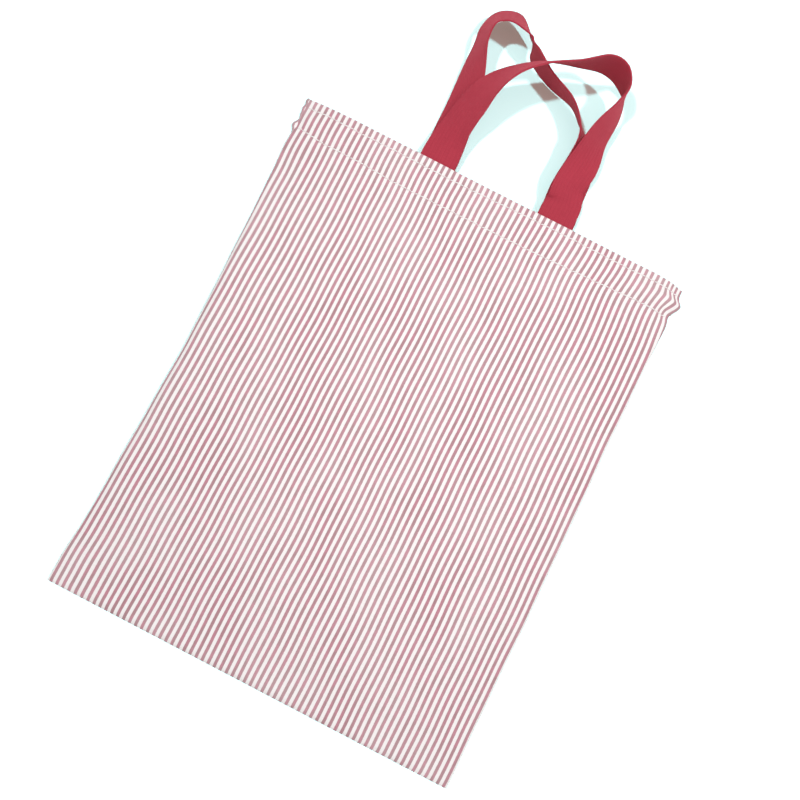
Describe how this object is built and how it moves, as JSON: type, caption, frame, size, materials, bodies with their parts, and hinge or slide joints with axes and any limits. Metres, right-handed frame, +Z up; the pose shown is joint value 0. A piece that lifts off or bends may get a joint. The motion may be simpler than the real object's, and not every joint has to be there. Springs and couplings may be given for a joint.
{
  "type": "tote bag",
  "caption": "Flat tote bag of striped cotton with two webbing handles, lying on its back, with a deep stitched hem round the mouth and seams inside.",
  "frame": {"origin": "centre of the back panel's resting face, on the surface that the bag lies on", "axes": "+X across the mouth to the right side seam, +Y from the bottom seam towards the handles, +Z up through the front panel"},
  "size_m": [0.335, 0.5553, 0.064],
  "materials": {
    "striped_cotton": "plain woven cotton with fine red and white stripes",
    "red_webbing": "woven cotton webbing",
    "white_thread": "sewing thread"
  },
  "bodies": {
    "bag": {"back_panel": "striped_cotton", "front_panel": "striped_cotton", "back_hem": "striped_cotton", "front_hem": "striped_cotton", "front_handle_left_end": "red_webbing", "front_handle_right_end": "red_webbing", "back_handle_left_end": "red_webbing", "back_handle_right_end": "red_webbing", "left_seam_allowance": "striped_cotton", "right_seam_allowance": "striped_cotton", "bottom_seam_allowance": "striped_cotton", "front_upper_stitches": "white_thread", "front_lower_stitches": "white_thread", "back_upper_stitches": "white_thread", "back_lower_stitches": "white_thread", "left_seam_stitches": "white_thread", "right_seam_stitches": "white_thread", "bottom_seam_stitches": "white_thread", "left_overlock": "white_thread", "right_overlock": "white_thread", "bottom_overlock": "white_thread"},
    "front_loop": {"front_handle": "red_webbing"},
    "back_loop": {"back_handle": "red_webbing"}
  },
  "joints": [
    {"name": "front_handle_swing", "type": "hinge", "parent": "bag", "child": "front_loop", "pos_m": [0, 0.215, 0.00935], "axis": [1, 0, 0], "range_deg": [0, 110]},
    {"name": "back_handle_swing", "type": "hinge", "parent": "bag", "child": "back_loop", "pos_m": [0, 0.215, 0.00255], "axis": [1, 0, 0], "range_deg": [0, 50]}
  ],
  "couplings": [
    {"joint": "back_handle_swing", "follows": "front_handle_swing", "ratio": 0.45}
  ]
}
